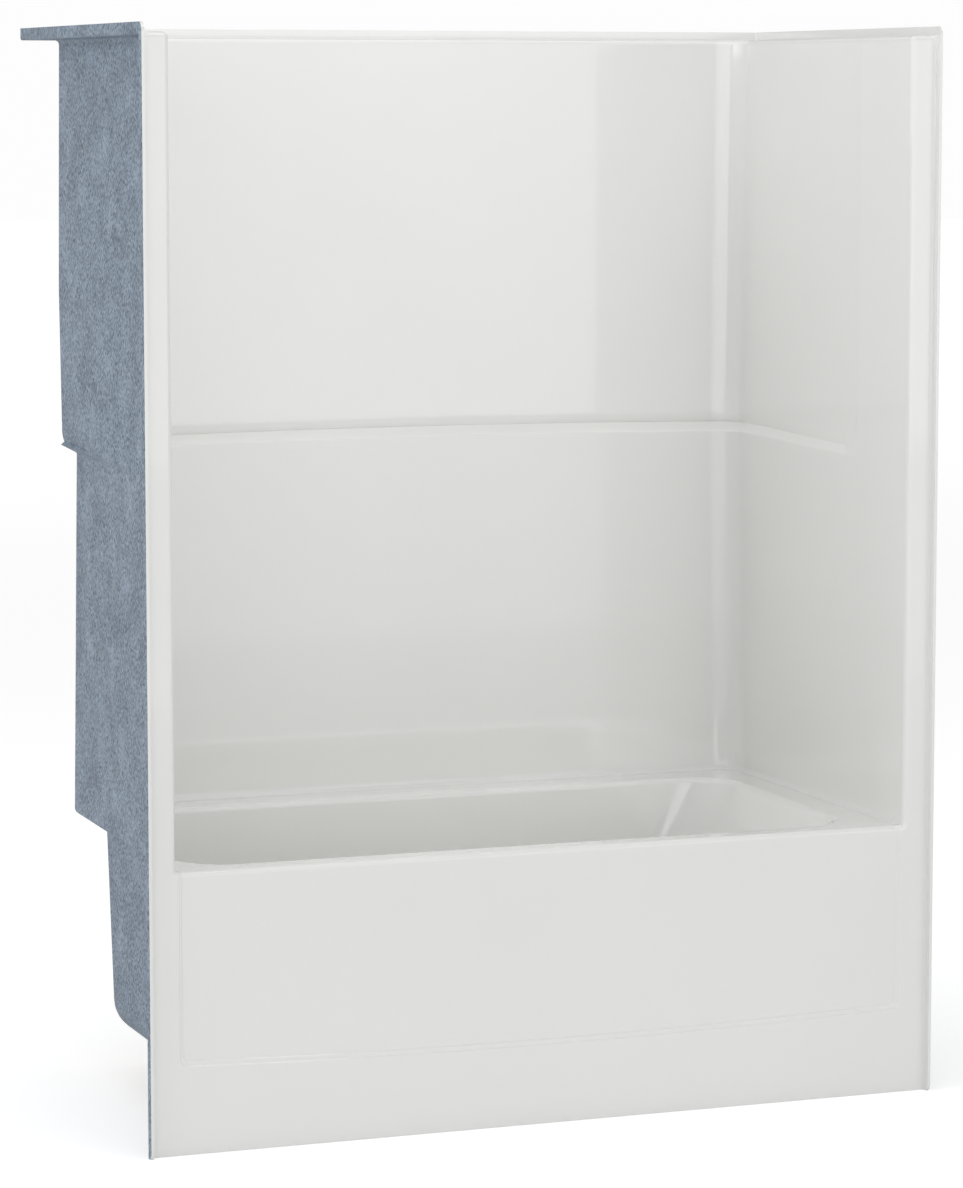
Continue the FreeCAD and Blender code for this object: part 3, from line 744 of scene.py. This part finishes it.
# Colours, as stops of grey level and colour; patterns, as scale and detail; relief, as strength and depth
GELCOAT_MEAN = (0.87, 0.87, 0.855)
GELCOAT_WHITES = ((0.3, (0.86, 0.865, 0.845)), (0.7, (0.875, 0.875, 0.86)))
GELCOAT_ROUGHNESS = 0.07
COAT_ROUGHNESS = 0.045
GELCOAT_CLOUD = (3.0, 2.0)
PEEL = (160.0, 1.5)
PEEL_RELIEF = (0.02, 0.0002)
WAVE = (9.0, 1.0)
WAVE_RELIEF = (0.025, 0.0012)
LAMINATE = ((0.073, 0.112, 0.167), (0.229, 0.297, 0.378), (0.43, 0.512, 0.61))
STRIP_LAMINATE = ((0.11, 0.15, 0.19), (0.30, 0.36, 0.41), (0.54, 0.60, 0.66))
LAMINATE_LEVELS = (0.50, 0.60, 0.70)
LAMINATE_ROUGHNESS = ((0.3, 0.38), (0.7, 0.6))
LAMINATE_CLOUD = (16.0, 3.0)
COARSE = (40.0, 3.0)
STRANDS = (1.0, 1.5)
STRAND_STRETCH = (430, 430, 105)
STRAND_LAYERS = (((0.25, 0.3, 0), 0.0), ((-0.35, -0.2, 0), 3.0))
CLOUD_SHARE = 0.22
FIBRE_RELIEF = (0.6, 0.0008)
COARSE_RELIEF = (0.4, 0.0015)


def gelcoat_material():
    """Glossy warm white gelcoat with a faint orange peel."""
    material = new_material("gelcoat", GELCOAT_MEAN, GELCOAT_ROUGHNESS)
    cloud = noise(material, place_of(material), *GELCOAT_CLOUD)
    link(material, ramp(material, cloud, GELCOAT_WHITES), "Base Color")
    shader_of(material).inputs["Coat Weight"].default_value = 1.0
    shader_of(material).inputs["Coat Roughness"].default_value = COAT_ROUGHNESS
    peel = noise(material, place_of(material), *PEEL)
    wave = noise(material, place_of(material), *WAVE)
    fine = bump(material, peel, *PEEL_RELIEF)
    link(material, bump(material, wave, *WAVE_RELIEF, fine), "Normal")
    return material


def strands(material, turn, shift):
    """Short glass strands that lie one way, as a grey level."""
    source = node(material, "ShaderNodeTexCoord").outputs["Object"]
    turned = node(material, "ShaderNodeMapping", Vector=source, Rotation=turn, Location=(shift,) * 3)
    stretched = node(material, "ShaderNodeMapping", Vector=turned.outputs["Vector"], Scale=STRAND_STRETCH)
    return noise(material, stretched.outputs["Vector"], *STRANDS, Roughness=0.5)


def laminate_material(name, tones):
    """Bare glass fibre laminate: blue-grey resin full of short, mostly upright strands."""
    material = new_material(name, tones[1], 0.5)
    layers = [strands(material, turn, shift) for turn, shift in STRAND_LAYERS]
    both = node(material, "ShaderNodeMix", {"data_type": "FLOAT"}, i0=0.5, i2=layers[0], i3=layers[1])
    both = both.outputs[0]
    cloud = noise(material, place_of(material), *LAMINATE_CLOUD)
    level = maths(material, "MULTIPLY_ADD", cloud, CLOUD_SHARE, both)
    link(material, ramp(material, level, list(zip(LAMINATE_LEVELS, tones))), "Base Color")
    link(material, ramp(material, cloud, greys(*LAMINATE_ROUGHNESS)), "Roughness")
    coarse = noise(material, place_of(material), *COARSE)
    fibres = bump(material, both, *FIBRE_RELIEF)
    link(material, bump(material, coarse, *COARSE_RELIEF, fibres), "Normal")
    return material


gelcoat = gelcoat_material()
laminate = laminate_material("laminate", LAMINATE)

skin = shell_layer("gelcoat_skin", 0.0, SKIN, SKIN_TRIM)
shade(skin, SHELL_CRISP)
add_piece(skin, "gelcoat", ["finish_shell"], gelcoat, gelcoat)

glass = shell_layer("glass_fibre_layer", SKIN, SHELL, 0.0)
shade(glass, SHELL_CRISP)
add_piece(glass, "laminate", ["fibreglass_shell"], laminate, gelcoat)

# Timber, plywood, ribs and screws behind the shell

ALONG_X = (
    "base_runner_front", "base_runner_middle", "base_runner_back", "apron_bottom_rail", "apron_top_rail",
    "back_deck_board", "back_rib_core_low", "back_rib_core_middle", "back_rib_core_high",
)
ALONG_Y = (
    "base_block_front_left", "base_block_front_right", "base_block_back_left", "base_block_back_right",
)
UPRIGHT = (
    "apron_post_1", "apron_post_2", "apron_post_3", "apron_post_4",
    "back_deck_leg_1", "back_deck_leg_2", "back_deck_leg_3",
)
SAWN_EDGE = 0.0016
SAWN_EDGE_STEPS = 2
SAWN_CRISP = 35
SAME_PLACE = 0.00001
ROUND_SIDE_TURN = 60
SLOPE_TURN = 30

# Laminate strips over the ribs
STRIP_STEPS = 56
STRIP_FLANGE = 0.028
STRIP_FLANGE_CUTS = 3
LEAST_FLANGE = 0.015
STRIP_EDGE_LIFT = 0.0012
STRIP_LIFT = 0.002
STRIP_BEND = 0.006
STRIP_BEND_STEPS = 4
STRIP_RAGGED = 0.004
STRIP_UNEVEN = 0.0006
STRIP_THICKNESS = 0.0019
STRIP_CRISP = 60

# Wood screws
SCREW_SHARES = (0.3, 0.7)
SCREW_LENGTH = 0.057
SCREW_SHANK = 0.0022
SCREW_HEAD = 0.0042
SCREW_HEAD_TOP = 0.96
SCREW_HEAD_EDGE = 0.00025
SCREW_CONE = 0.003
SCREW_SIDES = 24
SCREW_CRISP = 40
PLAIN_SHANK = 0.018
THREAD_PITCH = 0.0028
THREAD_ROOT = 0.72
SCREW_TIP = (0.7, 0.05)
RECESS_RIM = 0.3
RECESS_REACH = 0.0024
RECESS_HALF = 0.00055
RECESS_LEVELS = ((0.0009, 0.8), (0.0018, 0.45))


def eased_edges(bm, name):
    """The outer edges of a timber or board, but not those of the joints in it."""
    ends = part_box(name)

    def on_sides(co):
        return {(i, side) for i in range(3) for side in (0, 1) if abs(co[i] - ends[side][i]) < SAME_PLACE}

    chosen = []
    for edge in bm.edges:
        shared = on_sides(edge.verts[0].co) & on_sides(edge.verts[1].co)
        turn = edge.calc_face_angle(0)
        curved = name == "floor_core" and len(shared) == 1 and turn > math.radians(ROUND_SIDE_TURN)
        sloping = name == "backrest_gusset" and turn > math.radians(SLOPE_TURN)
        if len(shared) >= 2 or curved or sloping:
            chosen.append(edge)
    return chosen


def face_is_end(face, way, board):
    """True where a face shows the cut ends: across the grain, or on a board's edge."""
    along = abs(face.normal[way])
    return along < 0.5 if board else along > 0.5


def sawn_copy(name, way, board, grain, ends):
    """A timber or board from the frame with its edges eased, and its ends in their own finish."""
    bm = bmesh.new()
    bm.from_mesh(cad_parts[name].data)
    bmesh.ops.remove_doubles(bm, verts=bm.verts, dist=SAME_PLACE)
    dissolve_flat(bm)
    bmesh.ops.bevel(bm, geom=eased_edges(bm, name), offset=SAWN_EDGE, segments=SAWN_EDGE_STEPS, profile=0.5,
                    material=-1, affect="EDGES")
    for face in bm.faces:
        face.material_index = int(face_is_end(face, way, board))
    piece = finish_mesh(bm, name + "_timber")
    shade(piece, SAWN_CRISP)
    add_piece(piece, "plywood" if board else "timber", [name], grain, ends)


def strip_section(bm, low, high):
    """The strip's section at one end: a flange, a bend up, the crown over the rib, and back down."""
    wall, crown = low[1], high[1]
    middle = (low[2] + high[2]) / 2
    reach = (high[2] - low[2]) / 2
    shoulder = reach - STRIP_FLANGE
    section = ((wall + STRIP_EDGE_LIFT, -reach), (wall + STRIP_LIFT, -shoulder), (crown, -shoulder),
               (crown, shoulder), (wall + STRIP_LIFT, shoulder), (wall + STRIP_EDGE_LIFT, reach))
    corners = [bm.verts.new((low[0], y, middle + z)) for y, z in section]
    for a, b in zip(corners, corners[1:]):
        bm.edges.new((a, b))
    round_corners(bm, corners[1:-1], STRIP_BEND, STRIP_BEND_STEPS)
    flanges = [edge for edge in bm.edges if edge.calc_length() > LEAST_FLANGE]
    bmesh.ops.subdivide_edges(bm, edges=flanges, cuts=STRIP_FLANGE_CUTS)


def fray_strip(bm, low, high, step, chance):
    """Makes the strip's sides and ends ragged and its crown a little uneven."""
    middle = (low[2] + high[2]) / 2
    reach = (high[2] - low[2]) / 2
    for corner in bm.verts:
        out = abs(corner.co.z - middle)
        end = corner.co.x < low[0] + step / 2 or corner.co.x > high[0] - step / 2
        if out > reach - TINY:
            corner.co.z += math.copysign(chance.uniform(-STRIP_RAGGED, 0.0), corner.co.z - middle)
        if end:
            corner.co.x += math.copysign(chance.uniform(0.0, STRIP_RAGGED), -corner.co.x)
        elif corner.co.y > low[1] + STRIP_RAGGED:
            corner.co.y += chance.uniform(-STRIP_UNEVEN, 0.0)


def cover_strip(name, seed):
    """The laminate strip that is laid over a rib."""
    low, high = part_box(name)
    bm = bmesh.new()
    strip_section(bm, low, high)
    run = list(bm.edges)
    step = (high[0] - low[0]) / STRIP_STEPS
    for _ in range(STRIP_STEPS):
        run = pull(bm, run, lambda co: co + Vector((step, 0, 0)))
    fray_strip(bm, low, high, step, random.Random(seed))
    bmesh.ops.recalc_face_normals(bm, faces=bm.faces)
    if sum(face.normal.y * face.calc_area() for face in bm.faces) < 0:
        bmesh.ops.reverse_faces(bm, faces=bm.faces)
    piece = finish_mesh(bm, name + "_strip")
    shade(piece, STRIP_CRISP, weighted=False)
    thickness = piece.modifiers.new("strip_thickness", "SOLIDIFY")
    thickness.thickness = STRIP_THICKNESS
    thickness.offset = -1
    add_piece(piece, "rib_laminate", [name], strip_laminate)


def screw_head(bm):
    """The head's flat face with its cross recess, at the origin; returns the edges round the face."""
    radius = SCREW_HEAD * SCREW_HEAD_TOP
    head = bmesh.ops.create_circle(bm, cap_ends=True, radius=radius, segments=SCREW_SIDES)["verts"]
    face = head[0].link_faces[0]
    border = SCREW_HEAD * RECESS_RIM
    ring = bmesh.ops.inset_individual(bm, faces=[face], thickness=border, use_even_offset=True)["faces"]
    rim = [edge for item in ring for edge in item.edges if edge.is_boundary]
    for corner in face.verts:
        turn = math.atan2(corner.co.y, corner.co.x)
        narrow = max(min(abs(math.sin(turn)), abs(math.cos(turn))), TINY)
        corner.co *= min(RECESS_REACH, RECESS_HALF / narrow) / corner.co.length
    for depth, share in RECESS_LEVELS:
        face = bmesh.ops.extrude_discrete_faces(bm, faces=[face])["faces"][0]
        for corner in face.verts:
            corner.co = Vector((corner.co.x * share, corner.co.y * share, depth))
    return rim


def screw_rings():
    """Radius and depth of each ring below the head: the cone, the plain shank, the thread and the tip."""
    rings = [(SCREW_HEAD, SCREW_HEAD_EDGE), (SCREW_SHANK, SCREW_CONE)]
    thread = SCREW_CONE + PLAIN_SHANK
    while thread < SCREW_LENGTH - SCREW_CONE:
        rings += [(SCREW_SHANK * THREAD_ROOT, thread), (SCREW_SHANK, thread + THREAD_PITCH / 2)]
        thread += THREAD_PITCH
    shoulder, point = SCREW_TIP
    rings += [(SCREW_SHANK * shoulder, SCREW_LENGTH - SCREW_CONE), (SCREW_SHANK * point, SCREW_LENGTH)]
    return rings


def add_screw(bm, place, way):
    """One countersunk wood screw, its head flush at place, pointing along way."""
    before = set(bm.verts)
    run = screw_head(bm)
    for radius, level in screw_rings():

        def widen(co):
            flat = Vector((co.x, co.y, 0)).normalized() * radius
            return Vector((flat.x, flat.y, level))

        run = pull(bm, run, widen)
    bmesh.ops.holes_fill(bm, edges=run, sides=SCREW_SIDES)
    fresh = [corner for corner in bm.verts if corner not in before]
    turn = Vector((0, 0, 1)).rotation_difference(Vector(way)).to_matrix().to_4x4()
    bmesh.ops.transform(bm, matrix=turn, verts=fresh)
    bmesh.ops.translate(bm, verts=fresh, vec=place)


def screw_set(name, seats):
    bm = bmesh.new()
    for place, way in seats:
        add_screw(bm, place, way)
    bmesh.ops.recalc_face_normals(bm, faces=bm.faces)
    piece = finish_mesh(bm, name + "_fastened")
    shade(piece, SCREW_CRISP)
    add_piece(piece, "screw_steel", [name], zinc)


def middle_of(name):
    low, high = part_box(name)
    return [(a + b) / 2 for a, b in zip(low, high)]


def add_all_screws():
    """Screws through the runners into the blocks, through the rails into the posts, and into the legs."""
    base = []
    for side in ("left", "right"):
        for row, way in (("front", 1), ("back", -1)):
            low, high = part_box(f"base_runner_{row}")
            y = low[1] if way > 0 else high[1]
            name = f"base_block_{row}_{side}"
            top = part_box(name)[1][2]
            base += [((middle_of(name)[0], y, top * share), (0, way, 0)) for share in SCREW_SHARES]
    screw_set("base_frame_screws", base)
    rail_y = middle_of("apron_top_rail")[1]
    rail_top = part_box("apron_top_rail")[1][2]
    apron = []
    for number in range(1, 5):
        x = middle_of(f"apron_post_{number}")[0]
        apron += [((x, rail_y, rail_top), (0, 0, -1)), ((x, rail_y, 0), (0, 0, 1))]
    screw_set("apron_frame_screws", apron)
    deck_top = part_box("back_deck_board")[1][2]
    legs = [middle_of(f"back_deck_leg_{number}") for number in range(1, 4)]
    screw_set("deck_leg_screws", [((x, y, deck_top), (0, 0, -1)) for x, y, _ in legs])


# Wood, plywood and zinc
PINE = ((0.46, 0.31, 0.16), (0.60, 0.44, 0.25), (0.70, 0.54, 0.34))
PLY = ((0.50, 0.35, 0.19), (0.60, 0.45, 0.27), (0.66, 0.51, 0.33))
GRAIN_LEVELS = (0.05, 0.5, 0.95)
GRAIN = (1.6, 4.0)
GRAIN_TWIST = 1.2
GRAIN_ACROSS = 26
GRAIN_ALONG = 1.3
GRAIN_LINES = 27.0
FIBRES = (1.0, 2.0)
FIBRES_ACROSS = 420
FIBRES_ALONG = 16
SAWN_RELIEF = (0.45, 0.0004)
END_GRAIN = (0.50, 0.36, 0.20)
END_RINGS = ((0.2, (0.40, 0.27, 0.14)), (0.8, (0.60, 0.45, 0.27)))
END_RING_PATTERN = (34.0, 2.5, 2.0)
END_PORES = (900.0, 1.0)
END_RELIEF = (0.4, 0.0003)
PLY_EDGE = (0.52, 0.37, 0.20)
PLIES = ((0.35, (0.36, 0.23, 0.12)), (0.6, (0.62, 0.47, 0.28)))
PLY_PATTERN = (130.0, 0.4, 1.0)
ZINC = (0.62, 0.58, 0.44)
ZINC_STAINS = ((0.3, (0.56, 0.53, 0.44)), (0.7, (0.68, 0.64, 0.48)))
ZINC_ROUGHNESS = ((0.3, 0.25), (0.7, 0.42))
ZINC_STAIN = (300.0, 3.0)


def wood_material(name, axis, tones):
    """Sawn softwood with its grain along one axis."""
    material = new_material(name, tones[1], 0.65)
    stretch = [GRAIN_ACROSS] * 3
    stretch[axis] = GRAIN_ALONG
    grain = noise(material, place_of(material, stretch), *GRAIN, Distortion=GRAIN_TWIST)
    wave = maths(material, "SINE", maths(material, "MULTIPLY", grain, GRAIN_LINES))
    level = maths(material, "MULTIPLY_ADD", wave, 0.5, 0.5)
    link(material, ramp(material, level, list(zip(GRAIN_LEVELS, tones))), "Base Color")
    fine = [FIBRES_ACROSS] * 3
    fine[axis] = FIBRES_ALONG
    fibre = noise(material, place_of(material, fine), *FIBRES)
    link(material, bump(material, fibre, *SAWN_RELIEF), "Normal")
    return material


def bands(material, settings, scale, distortion, detail):
    """Rings or stripes of a given scale, waviness and detail, as a grey level."""
    return node(material, "ShaderNodeTexWave", settings, Vector=place_of(material), Scale=scale,
                Distortion=distortion, Detail=detail).outputs["Fac"]


def end_grain_material():
    """The rings and pores of a sawn end."""
    material = new_material("timber_end_grain", END_GRAIN, 0.8)
    rings = bands(material, {"wave_type": "RINGS", "rings_direction": "SPHERICAL"}, *END_RING_PATTERN)
    link(material, ramp(material, rings, END_RINGS), "Base Color")
    pores = noise(material, place_of(material), *END_PORES)
    link(material, bump(material, pores, *END_RELIEF), "Normal")
    return material


def plywood_edge_material(name, axis):
    """The stacked plies that show on a plywood edge."""
    material = new_material(name, PLY_EDGE, 0.75)
    plies = bands(material, {"wave_type": "BANDS", "bands_direction": "XYZ"[axis]}, *PLY_PATTERN)
    link(material, ramp(material, plies, PLIES), "Base Color")
    return material


def zinc_material():
    """Zinc plated steel with a faint yellow cast."""
    material = new_material("zinc_plate", ZINC, 0.3)
    shader_of(material).inputs["Metallic"].default_value = 1.0
    stain = noise(material, place_of(material), *ZINC_STAIN)
    link(material, ramp(material, stain, greys(*ZINC_ROUGHNESS)), "Roughness")
    link(material, ramp(material, stain, ZINC_STAINS), "Base Color")
    return material


timber = [wood_material("timber_grain_" + "xyz"[axis], axis, PINE) for axis in range(3)]
end_grain = end_grain_material()
ply_face = wood_material("plywood_face", 0, PLY)
core_edge = plywood_edge_material("core_plies", 2)
gusset_edge = plywood_edge_material("gusset_plies", 1)
strip_laminate = laminate_material("strip_laminate", STRIP_LAMINATE)
zinc = zinc_material()

for axis, names in enumerate((ALONG_X, ALONG_Y, UPRIGHT)):
    for name in names:
        sawn_copy(name, axis, False, timber[axis], end_grain)
sawn_copy("floor_core", 2, True, ply_face, core_edge)
sawn_copy("backrest_gusset", 1, True, ply_face, gusset_edge)
for seed, place in enumerate(("low", "middle", "high")):
    cover_strip(f"back_rib_cover_{place}", seed)
add_all_screws()

# Studio: the seen floor and backdrop only show; the lit floor and the lights only light the unit
WORLD_GLOW = 0.48
FLOOR_WHITE = 0.90
FLOOR_HALF = 60
FLOOR_GLOW = 0.49
LIT_FLOOR_DROP = 0.0004
PAINT_ROUGHNESS = 0.9
BACKDROP_GLOW = 0.985
BACKDROP_RADIUS = 58
BACKDROP_SIDES = (48, 24)
WINDOW_Y = -5.7

# Upright soft boxes in front: left, right, low and high edges, brightness, whether the gloss mirrors them
WINDOWS = (
    ("front_window", -7.6, 4.5, 0.75, 2.7, 1.16, True),
    ("front_window_foot", -7.6, 4.5, 0.0, 0.75, 0.67, True),
    ("right_window", 4.5, 8.5, 0.1, 2.7, 1.15, False),
)
# Other soft boxes: place, target, width and height, brightness, whether the gloss mirrors them
SOFT_BOXES = (
    ("overhead_box", (0, 0.1, 4.2), (0, 0.1, 1), (3.0, 1.2), 1.9, False),
    ("front_overhead_box", (-0.4, -1.2, 4.0), (0, -0.2, 1.0), (3.2, 0.6), 2.3, True),
    ("side_box", (-5.5, -1.0, 2.9), (0, 0, 1.6), (3.0, 2.4), 2.2, True),
    ("far_floor_box", (0, 34, 5), (0, 34, 0), (110, 46), 0.13, False),
)

LENS = 129.71
SENSOR_WIDTH = 36
CAMERA_PLACE = (-2.7975, -7.5333, 1.8644)
CAMERA_TILT = 83.369
CAMERA_TURN = -20.466


def paint_material(name, level, glow):
    """Matt studio paint that also glows a little."""
    material = new_material(name, (level,) * 3, PAINT_ROUGHNESS)
    inputs = shader_of(material).inputs
    inputs["Emission Color"].default_value = (1, 1, 1, 1)
    inputs["Emission Strength"].default_value = glow
    inputs["Specular IOR Level"].default_value = 0.0
    return material


def add_stage(bm, name, level, glow, seen):
    """A studio surface that is either seen or lights the unit."""
    surface = finish_mesh(bm, name)
    surface.data.materials.append(paint_material(name + "_paint", level, glow))
    surface.visible_camera = seen
    for ray in ("visible_diffuse", "visible_glossy", "visible_transmission", "visible_shadow"):
        setattr(surface, ray, not seen)


def add_floor(name, level, glow, seen):
    bm = bmesh.new()
    bmesh.ops.create_grid(bm, x_segments=1, y_segments=1, size=FLOOR_HALF)
    bmesh.ops.translate(bm, verts=bm.verts, vec=(0, 0, level))
    add_stage(bm, name, FLOOR_WHITE, glow, seen)


def add_backdrop():
    bm = bmesh.new()
    around, up = BACKDROP_SIDES
    bmesh.ops.create_uvsphere(bm, u_segments=around, v_segments=up, radius=BACKDROP_RADIUS)
    add_stage(bm, "white_backdrop", 0.0, BACKDROP_GLOW, True)


def add_light(name, place, target, size, radiance, mirrored):
    """A soft box of a given brightness; the camera doesn't see it, nor does the gloss unless mirrored."""
    data = bpy.data.lights.new(name, "AREA")
    data.shape = "RECTANGLE"
    data.size, data.size_y = size
    data.energy = radiance * math.pi * size[0] * size[1]
    lamp = bpy.data.objects.new(name, data)
    bpy.context.scene.collection.objects.link(lamp)
    lamp.location = place
    lamp.rotation_euler = (Vector(target) - Vector(place)).to_track_quat("-Z", "Y").to_euler()
    lamp.visible_camera = False
    lamp.visible_glossy = mirrored


def add_window(name, left, right, low, high, radiance, mirrored):
    middle = ((left + right) / 2, WINDOW_Y, (low + high) / 2)
    add_light(name, middle, (middle[0], 0, middle[2]), (right - left, high - low), radiance, mirrored)


def add_camera():
    data = bpy.data.cameras.new("camera")
    data.lens = LENS
    data.sensor_width = SENSOR_WIDTH
    camera = bpy.data.objects.new("camera", data)
    bpy.context.scene.collection.objects.link(camera)
    camera.location = CAMERA_PLACE
    camera.rotation_euler = (math.radians(CAMERA_TILT), 0, math.radians(CAMERA_TURN))
    bpy.context.scene.camera = camera


def add_studio():
    world = bpy.data.worlds.new("studio")
    world.use_nodes = True
    background = world.node_tree.nodes["Background"].inputs
    background["Color"].default_value = (1, 1, 1, 1)
    background["Strength"].default_value = WORLD_GLOW
    bpy.context.scene.world = world
    bpy.context.scene.view_settings.view_transform = "Standard"


add_floor("seen_floor", 0.0, FLOOR_GLOW, True)
add_floor("lit_floor", -LIT_FLOOR_DROP, 0.0, False)
add_backdrop()
for window in WINDOWS:
    add_window(*window)
for soft_box in SOFT_BOXES:
    add_light(*soft_box)
add_studio()
add_camera()
